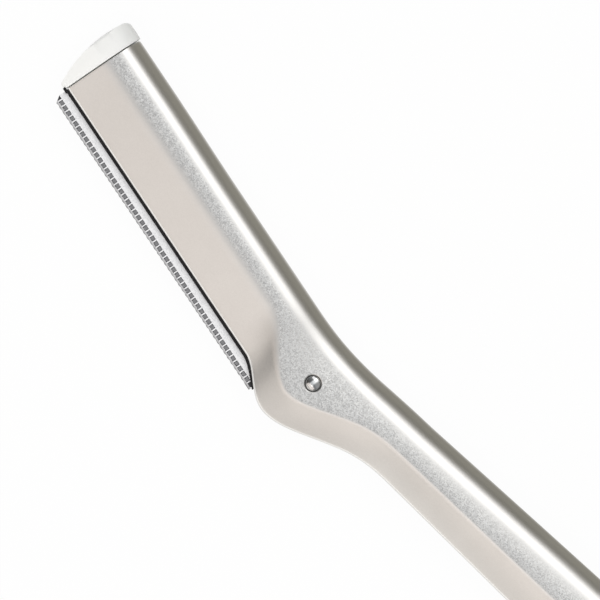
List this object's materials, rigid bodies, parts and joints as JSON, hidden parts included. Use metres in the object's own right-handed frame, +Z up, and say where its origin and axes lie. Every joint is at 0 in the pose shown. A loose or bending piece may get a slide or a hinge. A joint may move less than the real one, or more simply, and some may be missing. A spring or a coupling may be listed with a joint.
{
  "type": "eyebrow razor",
  "caption": "Slim eyebrow razor with a straight guarded blade in a slotted head, a bent satin metal handle, a white tip cap and a domed rivet.",
  "frame": {"origin": "under the middle of the razor's bounding box, on the surface that it lies on", "axes": "+X along the head from the tip to the handle, +Y towards the back, +Z up from the flat side that it lies on"},
  "size_m": [0.1478, 0.0356, 0.0071],
  "materials": {
    "shell_finish": "satin champagne-silver with a fine metallic grain",
    "black_plastic": "fine matte moulding",
    "white_plastic": "slightly milky, semi-gloss",
    "rivet_chrome": "polished dome",
    "spring_steel": "bright rolled",
    "blade_steel": "ground bevel on a fine satin strip",
    "guard_foil": "bright, finely speckled"
  },
  "bodies": {
    "holder": {"near_shell": "shell_finish", "far_shell": "shell_finish", "blade_channel": "black_plastic", "tip_cap": "white_plastic", "elbow_rivet": "rivet_chrome", "grip_spring": "spring_steel", "locating_pins": "spring_steel"},
    "blade_unit": {"blade": "blade_steel", "blade_back": "black_plastic", "micro_guard": "guard_foil"}
  },
  "joints": [
    {"name": "blade_slide", "type": "slide", "parent": "holder", "child": "blade_unit", "axis": [-1, 0, 0], "range_m": [0, 0.055]}
  ]
}
